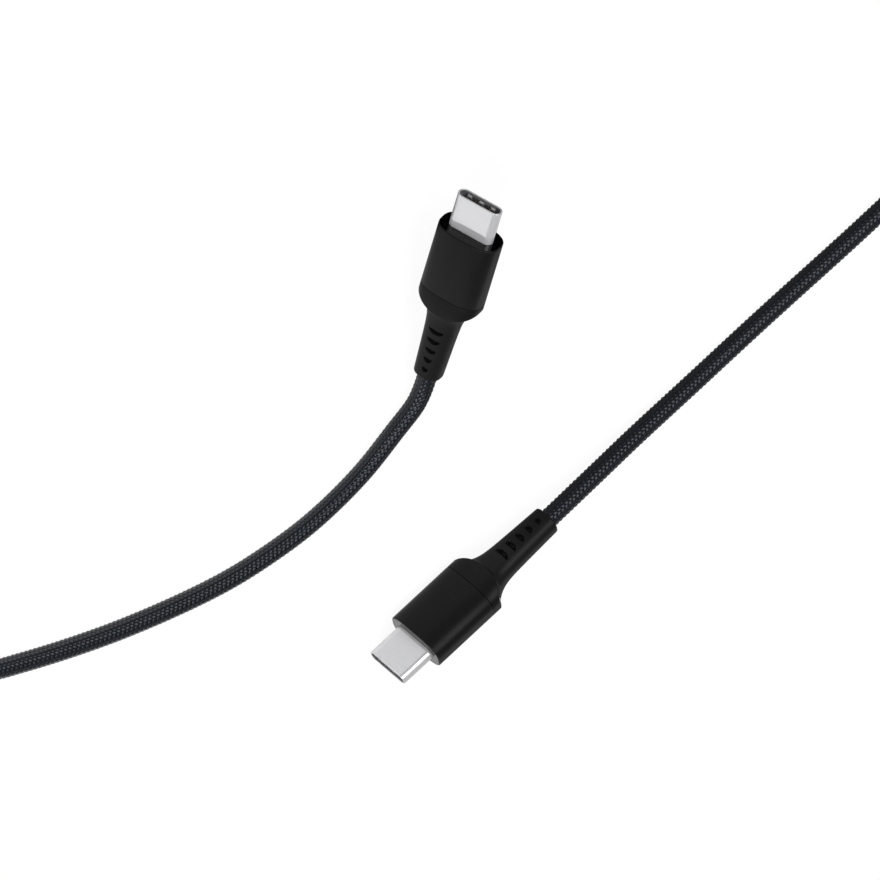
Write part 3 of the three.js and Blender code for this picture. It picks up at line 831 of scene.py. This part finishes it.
def makeSleeve(plug, matrix):
    h = housingSizes
    rear, r, q = -h["sleeve"], h["edgeRound"], h["seamRound"]
    rings = [housingRing(rear, h["wall"])]
    rings += [
        housingRing(rear + q - q * math.sin(a), q - q * math.cos(a))
        for a in arcSteps(90, 0, 3)
    ]
    rings += [
        housingRing(-r + r * math.sin(a), r - r * math.cos(a)) for a in arcSteps(0, 90, 6)
    ]
    rings += [housingRing(0, r + h["faceRim"]), housingRing(0, h["wall"])]
    edge = len(rings) - 2
    made = skin(
        plug + "Sleeve",
        rings,
        matrix,
        ["blackAnodisedAluminium", "polishedBlackABS"],
        marks=[edge - 1, edge],
    )
    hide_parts(plug + "_sleeve")


def makeFrontPlate(plug, matrix):
    h, s = housingSizes, shellSizes
    inset = h["wall"] + h["plateFit"]
    half = ((h["width"] / 2 - inset), (h["thickness"] / 2 - inset))
    hole = stadiumOutline(
        s["width"] + 2 * h["plateGap"], s["thickness"] + 2 * h["plateGap"], h["points"]
    )
    rings = [[(-h["plate"], y, z) for y, z in hole], [(0, y, z) for y, z in hole]]
    outer = []
    for y, z in hole:
        length = math.hypot(y, z)
        c, d = abs(y / length), abs(z / length)
        power = h["curve"]
        reach = ((c / half[0]) ** power + (d / half[1]) ** power) ** (-1 / power)
        outer.append((y / length * reach, z / length * reach))
    rings += [[(0, y, z) for y, z in outer], [(-h["plate"], y, z) for y, z in outer]]
    made = skin(
        plug + "FrontPlate", rings, matrix, "polishedBlackABS", sharp=30
    )
    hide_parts(plug + "_front_plate")


def wallX(y):
    # the collar's rear wall, one arc across the plug
    h = housingSizes
    half = h["width"] / 2
    radius = (half * half + h["bow"] ** 2) / (2 * h["bow"])
    bow = math.sqrt(max(radius * radius - y * y, 0)) - (radius - h["bow"])
    return -h["sleeve"] - h["seam"] - h["collarSide"] - bow


def makeCollar(plug, matrix):
    h, b = housingSizes, bootSizes
    front, r, q = -h["sleeve"] - h["seam"], h["collarRound"], h["seamRound"]
    hole = roundedOutline(
        b["rootWidth"] + 2 * h["fit"],
        b["rootThickness"] + 2 * h["fit"],
        b["curve"],
        h["points"],
    )
    rings = [[(front, y, z) for y, z in hole]]
    rings += [
        housingRing(front - q + q * math.sin(a), q - q * math.cos(a))
        for a in arcSteps(90, 0, 3)
    ]
    rings += [
        housingRing(lambda y, a=a: wallX(y) + r - r * math.sin(a), r - r * math.cos(a))
        for a in arcSteps(0, 90, 5)
    ]
    last = rings[-1]
    for share in (0.25, 0.5, 0.75, 1.0):
        ring = []
        for (_, y, z), (v, w) in zip(last, hole):
            yy, zz = y + (v - y) * share, z + (w - z) * share
            ring.append((wallX(yy), yy, zz))
        rings.append(ring)
    made = skin(
        plug + "Collar", rings, matrix, "blackAnodisedAluminium", sharp=50
    )
    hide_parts(plug + "_collar")


# strain relief boot, with five half-moon pockets on each broad face

bootSizes = {
    "rootX": -13.4,
    "rootWidth": 8.2,
    "rootThickness": 5.7,
    "seat": 0.06,
    "neckWidth": 6.1,
    "neckThickness": 5.0,
    "endWidth": 4.9,
    "endThickness": 4.6,
    "curve": 2.5,
    "flareWidth": 3.0,
    "flareThickness": 0.8,
    "fillet": 0.45,  # where the flare turns out against the collar
    "flareLength": 1.1,
    "flareBend": 4.0,
    "endRound": 0.3,
    "bore": 1.78,
    "pockets": 5,
    "pocketX": -20.35,
    "pocketPitch": 2.08,
    "pocketLength": 0.95,
    "pocketWidth": 2.85,
    "pocketWidthStep": 0.42,
    "pocketDepth": 0.75,
    "pocketFace": 0.3,  # a broad face is further out than this share of the thickness
    "pocketWall": 0.09,  # over which the straight and the round edge drop
    "pocketSide": 0.12,  # and the two corners
    "rampStart": 0.12,
    "rampShare": 0.75,
    "endDish": 0.1,  # of the end face, round the cord
    "points": 224,
    "step": 0.085,
}


def bootSize(behind, neck, end, flare):
    share = behind / (wallX(0) - bootEndX)
    r = bootSizes["fillet"]
    left = max(r - behind, 0)
    fillet = r - math.sqrt(r * r - left * left)
    flared = flare * math.exp(-behind / bootSizes["flareLength"])
    return neck + (end - neck) * share + flared + 2 * fillet


def pocketDepth(x, y):
    # a ramp that dips from the pocket's straight edge to its round one
    b = bootSizes
    number = round((b["pocketX"] - b["pocketLength"] / 2 - x) / b["pocketPitch"])
    if not 0 <= number < b["pockets"]:
        return 0.0
    half = (b["pocketWidth"] - b["pocketWidthStep"] * number) / 2
    if abs(y) >= half:
        return 0.0
    reach = b["pocketLength"] * math.sqrt(1 - (y / half) ** 2)
    into = b["pocketX"] - b["pocketPitch"] * number - x
    if into <= 0 or into >= reach:
        return 0.0
    wall = min(1.0, (reach - into) / b["pocketWall"])
    side = min(1.0, (half - abs(y)) / b["pocketSide"])
    ramp = min(1.0, (into / b["pocketLength"] + b["rampStart"]) / b["rampShare"])
    edge = min(1.0, into / b["pocketWall"])
    return b["pocketDepth"] * ramp * wall * side * edge


def bootRing(behind, inset=0.0):
    b = bootSizes
    width = bootSize(behind, b["neckWidth"], b["endWidth"], b["flareWidth"]) - 2 * inset
    height = bootSize(behind, b["neckThickness"], b["endThickness"], b["flareThickness"])
    follow = max(0.0, 1 - behind / b["flareBend"])
    ring = []
    for y, z in roundedOutline(width, height - 2 * inset, b["curve"], b["points"]):
        x = wallX(0) - behind + (wallX(y) - wallX(0)) * follow
        depth = pocketDepth(x, y) if abs(z) > height * b["pocketFace"] else 0.0
        ring.append((x, y, z - math.copysign(depth, z)))
    return ring


def makeBoot(plug, matrix):
    b = bootSizes
    angles = [2 * math.pi * i / b["points"] for i in range(b["points"])]
    circle = [(b["bore"] * math.cos(a), b["bore"] * math.sin(a)) for a in angles]
    root = roundedOutline(b["rootWidth"], b["rootThickness"], b["curve"], b["points"])
    rings = [[(b["rootX"], y, z) for y, z in circle]]
    rings += [[(b["rootX"], y, z) for y, z in root]]
    rings += [[(wallX(y) - b["seat"], y, z) for y, z in root]]
    length = wallX(0) - bootEndX
    r = b["endRound"]
    count = round((length - r - b["seat"]) / b["step"])
    spots = [b["seat"] + (length - r - b["seat"]) * i / count for i in range(count + 1)]
    spots[1:1] = [b["seat"] + b["step"] * share for share in (0.25, 0.5, 0.75)]
    rings += [bootRing(behind) for behind in spots]
    rings += [
        bootRing(length - r + r * math.sin(a), r - r * math.cos(a))
        for a in arcSteps(0, 90, 5)[1:]
    ]
    rings += [[(bootEndX + b["endDish"], y, z) for y, z in circle]]
    made = skin(plug + "Boot", rings, matrix, "satinElastomer", sharp=35)
    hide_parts(plug + "_boot")


# strap round the coil

tieSizes = {
    "thickness": 0.6,
    "width": 8.0,
    "gap": 0.3,
    "angle": 225.0,
    "corner": 1.2,
    "overlap": 7.0,
    "rampLength": 2.5,
    "liftShare": 1.06,  # of the thickness, where the end lies over the start
    "shrink": 0.02,  # on each face
    "steps": 120,
}


def makeTie():
    d = cordSizes["diameter"]
    t, half = tieSizes["thickness"], tieSizes["width"] / 2
    innermost = coil["radius"] - coil["pitch"] * coil["turnsPerLayer"]
    sag = innermost - math.sqrt(innermost**2 - half**2)
    drift = coil["pitch"] * half / (2 * math.pi * innermost)
    left = innermost - sag - drift - d / 2 - tieSizes["gap"]
    right = innermost + 1.5 * coil["pitch"] + drift + d / 2 + tieSizes["gap"]
    low, high = t, coil["low"] + coil["rise"] + d / 2 + tieSizes["gap"]
    centre = ((left + right) / 2, (low + high) / 2)
    size = (right - left, high - low)

    corner = tieSizes["corner"]
    around = 2 * (size[0] + size[1]) - 8 * corner + 2 * math.pi * corner
    whole = 1 + tieSizes["overlap"] / around
    rings = []
    for i in range(tieSizes["steps"] + 1):
        share = whole * i / tieSizes["steps"]
        lifted = min(max((share - 1) * around / tieSizes["rampLength"] + 1, 0), 1)
        lift = t * tieSizes["liftShare"] * lifted * lifted * (3 - 2 * lifted)
        x, z, outX, outZ = roundedLoop(share % 1, size[0], size[1], corner)
        ring = []
        for across, thick in strapSection(half, t - 2 * tieSizes["shrink"]):
            reach = thick + tieSizes["shrink"] + lift
            ring.append((centre[0] + x + outX * reach, across, centre[1] + z + outZ * reach))
        rings.append(ring)
    turn = Matrix.Translation(
        Vector((coil["centre"][0] + shift[0], coil["centre"][1] + shift[1], 0))
    ) @ Matrix.Rotation(math.radians(tieSizes["angle"]), 4, "Z")
    strap = skin("coilStrap", rings, turn, "hookAndLoopTape", closed=False, sharp=60)
    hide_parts("coil_tie")
    return strap


def strapSection(half, thick):
    # a flat band with rounded selvedges
    r = thick / 2
    spots = []
    for side in (1, -1):
        for a in arcSteps(-90, 90, 6):
            spots.append((side * (half - r + r * math.cos(a)), r + side * r * math.sin(a)))
        spots += [(side * (half - r) * (1 - 2 * k / 8), r + side * r) for k in range(1, 8)]
    return spots


def roundedLoop(share, width, height, radius):
    # a point of a rounded rectangle, by its share of the way round, and the way out from there
    flatX, flatZ = width - 2 * radius, height - 2 * radius
    corner = math.pi * radius / 2
    parts = [flatX / 2, corner, flatZ, corner, flatX, corner, flatZ, corner, flatX / 2]
    s = share * sum(parts)
    number = 0
    while number < 8 and s > parts[number]:
        s -= parts[number]
        number += 1
    if number % 2:
        a = math.pi / 2 * (1 - (number + 1) // 2) + math.pi / 2 - s / radius
        cx = flatX / 2 * (1 if number in (1, 3) else -1)
        cz = flatZ / 2 * (1 if number in (1, 7) else -1)
        return cx + radius * math.cos(a), cz + radius * math.sin(a), math.cos(a), math.sin(a)
    return {
        0: (s, height / 2, 0, 1),
        2: (width / 2, flatZ / 2 - s, 1, 0),
        4: (flatX / 2 - s, -height / 2, 0, -1),
        6: (-width / 2, -flatZ / 2 + s, -1, 0),
        8: (-flatX / 2 + s, height / 2, 0, 1),
    }[number]


makeCord()

for plug in plugPlaces:
    matrix = plugMatrix(plug)
    makeShell(plug, matrix)
    makeSleeve(plug, matrix)
    makeFrontPlate(plug, matrix)
    makeCollar(plug, matrix)
    makeBoot(plug, matrix)
    print("dressed", plug)

# the pieces that stay as the solids have them

nodeFinishes = {
    "insulator": "blackNylonMoulding",
    "contact": "goldPlating",
    "mouth_spring": "stainlessSpringStrip",
    "latch_spring": "stainlessSpringStrip",
    "circuit_card": "solderResist",
    "marker_chip": "blackNylonMoulding",
    "shield_can": "phosphorBronze",
    "inner_mould": "hotMeltMoulding",
    "ferrule": "stainlessSpringStrip",
    "cord_tail": "cordJacket",
    "wire_power": "redWireInsulation",
    "wire_ground": "blackWireInsulation",
    "wire_data_plus": "greenWireInsulation",
    "wire_data_minus": "whiteWireInsulation",
}
for name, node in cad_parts.items():
    short = name.split("_", 2)[-1]
    for start, finish in nodeFinishes.items():
        if name.startswith("plug_") and short.startswith(start):
            for holder in node.material_slots:
                holder.material = finishes[finish]
print("finishes on the inner pieces")

# studio: a pale floor, two soft lamps and a pale room, and two cards for the mirrors
# mirrors see the room brightest round the horizon, and room and floor dimmer on one side

studio = {
    "floorColor": "#f4f4f4",
    "floorSize": 6.0,
    "white": 1.03,
    "shadowShare": 0.1,
    "roomDiffuse": 0.4,
    "overheadMirrored": 0.34,
    "horizonFrom": 0.05,  # sine of the height above the horizon
    "horizonTo": 0.35,
    # what mirrors see of the horizon, from -X to +X
    "horizonLeft": 0.5,
    "horizonRight": 1.06,
    # what mirrors see of the floor, from one spot on a line across the table to another
    "floorLine": (0.25, -0.97),
    "floorFrom": -15.0,
    "floorTo": 28.0,
    "floorDark": 0.3,
    "floorBright": 1.06,
}
# cards beside the plugs, which only mirrors see: painted reflections, a black one that darkens
# what plug_a's mouth mirrors and a glowing white one that hides the cord from plug_b's shell;
# corners in mm
cards = {
    "blackCard": {
        "strength": 0.0,
        "corners": [(-36, -14, 0.3), (-86, -14, 0.3), (-86, 40, 0.3), (-36, 40, 0.3)],
    },
    "whiteCard": {
        "strength": 0.75,
        "corners": [(26, -27, 0.2), (26, 8, 0.2), (26, 8, 9), (26, -27, 9)],
    },
}
lamps = {
    "frontSoftbox": {"toward": (0.05, -0.75, 0.66), "away": 0.9, "size": 0.5, "power": 3.2},
    "topSoftbox": {"toward": (-0.45, 0.08, 0.89), "away": 0.9, "size": 0.68, "power": 3.5},
}


def makeFloor():
    work = bmesh.new()
    bmesh.ops.create_grid(work, x_segments=1, y_segments=1, size=studio["floorSize"] / 2)
    mesh = bpy.data.meshes.new("floor")
    work.to_mesh(mesh)
    work.free()
    floor = bpy.data.objects.new("floor", mesh)
    scene.collection.objects.link(floor)
    paper = bpy.data.materials.new("whitePaper")
    paper.use_nodes = True
    tree = paper.node_tree
    surface = tree.nodes["Principled BSDF"]
    surface.inputs["Base Color"].default_value = linearColor(studio["floorColor"])
    surface.inputs["Roughness"].default_value = 0.9
    rays = addNode(tree, "ShaderNodeLightPath").outputs
    seen = rays["Is Camera Ray"]
    mirrored = addNode(
        tree,
        "ShaderNodeMath",
        {0: rays["Is Glossy Ray"], 1: rays["Is Transmission Ray"]},
        operation="MAXIMUM",
    ).outputs[0]
    place = addNode(tree, "ShaderNodeTexCoord").outputs["Object"]
    apart = addNode(tree, "ShaderNodeSeparateXYZ", {0: place}).outputs
    alongX = addNode(
        tree,
        "ShaderNodeMath",
        {0: apart["X"], 1: studio["floorLine"][0]},
        operation="MULTIPLY",
    ).outputs[0]
    across = addNode(
        tree,
        "ShaderNodeMath",
        {0: apart["Y"], 1: studio["floorLine"][1], 2: alongX},
        operation="MULTIPLY_ADD",
    ).outputs[0]
    sides = addNode(
        tree,
        "ShaderNodeMapRange",
        {
            "Value": across,
            "From Min": studio["floorFrom"] * mm,
            "From Max": studio["floorTo"] * mm,
            "To Min": studio["floorDark"],
            "To Max": studio["floorBright"],
        },
        interpolation_type="SMOOTHSTEP",
    ).outputs["Result"]
    white = addNode(
        tree, "ShaderNodeMath", {0: seen, 1: studio["white"]}, operation="MULTIPLY"
    ).outputs[0]
    strength = addNode(
        tree, "ShaderNodeMath", {0: white, 1: sides}, operation="MAXIMUM"
    ).outputs[0]
    glow = addNode(
        tree, "ShaderNodeEmission", {"Color": (1, 1, 1, 1), "Strength": strength}
    )
    share = addNode(
        tree,
        "ShaderNodeMath",
        {0: seen, 1: 1 - studio["shadowShare"], 2: mirrored},
        operation="MULTIPLY_ADD",
    ).outputs[0]
    mixed = addNode(
        tree,
        "ShaderNodeMixShader",
        {0: share, 1: surface.outputs["BSDF"], 2: glow.outputs["Emission"]},
    )
    tree.links.new(mixed.outputs["Shader"], tree.nodes["Material Output"].inputs["Surface"])
    mesh.materials.append(paper)


def makeRoom():
    world = bpy.data.worlds.new("room")
    world.use_nodes = True
    scene.world = world
    tree = world.node_tree
    rays = addNode(tree, "ShaderNodeLightPath").outputs
    way = addNode(tree, "ShaderNodeTexCoord").outputs["Generated"]
    apart = addNode(tree, "ShaderNodeSeparateXYZ", {0: way}).outputs
    mirrored = addNode(
        tree,
        "ShaderNodeMath",
        {0: rays["Is Glossy Ray"], 1: rays["Is Transmission Ray"]},
        operation="MAXIMUM",
    ).outputs[0]
    sides = addNode(
        tree,
        "ShaderNodeMapRange",
        {
            "Value": apart["X"],
            "From Min": -1.0,
            "From Max": 1.0,
            "To Min": studio["horizonLeft"],
            "To Max": studio["horizonRight"],
        },
    ).outputs["Result"]
    upward = addNode(
        tree,
        "ShaderNodeMapRange",
        {
            "Value": apart["Z"],
            "From Min": studio["horizonFrom"],
            "From Max": studio["horizonTo"],
            "To Min": 1.0,
            "To Max": studio["overheadMirrored"],
        },
        interpolation_type="SMOOTHSTEP",
    ).outputs["Result"]
    bright = addNode(
        tree, "ShaderNodeMath", {0: sides, 1: upward}, operation="MULTIPLY"
    ).outputs[0]
    more = addNode(
        tree, "ShaderNodeMath", {0: bright, 1: studio["roomDiffuse"]}, operation="SUBTRACT"
    ).outputs[0]
    lit = addNode(
        tree,
        "ShaderNodeMath",
        {0: mirrored, 1: more, 2: studio["roomDiffuse"]},
        operation="MULTIPLY_ADD",
    ).outputs[0]
    seen = addNode(
        tree, "ShaderNodeMath", {0: lit, 1: rays["Is Camera Ray"]}, operation="MAXIMUM"
    ).outputs[0]
    background = tree.nodes["Background"]
    background.inputs["Color"].default_value = (1, 1, 1, 1)
    tree.links.new(seen, background.inputs["Strength"])


def makeLamps():
    for name, one in lamps.items():
        lamp = bpy.data.lights.new(name, "AREA")
        lamp.shape = "DISK"
        lamp.size = one["size"]
        lamp.energy = one["power"]
        box = bpy.data.objects.new(name, lamp)
        way = Vector(one["toward"]).normalized()
        box.location = way * one["away"]
        box.rotation_euler = (-way).to_track_quat("-Z", "Y").to_euler()
        box.visible_camera = False
        scene.collection.objects.link(box)


def makeCards():
    for name, one in cards.items():
        work = bmesh.new()
        work.faces.new([work.verts.new(Vector(corner) * mm) for corner in one["corners"]])
        mesh = bpy.data.meshes.new(name)
        work.to_mesh(mesh)
        work.free()
        card = bpy.data.objects.new(name, mesh)
        scene.collection.objects.link(card)
        board = bpy.data.materials.new(name + "Board")
        board.use_nodes = True
        tree = board.node_tree
        # painted reflection: the card glows, or stays black, for mirrors only
        glow = addNode(
            tree, "ShaderNodeEmission", {"Color": (1, 1, 1, 1), "Strength": one["strength"]}
        )
        end = tree.nodes["Material Output"]
        tree.links.new(glow.outputs["Emission"], end.inputs["Surface"])
        mesh.materials.append(board)
        card.visible_camera = False
        card.visible_diffuse = False
        card.visible_shadow = False


makeFloor()
makeCards()
makeRoom()
makeLamps()
scene.view_settings.view_transform = "Standard"
print("studio ready")
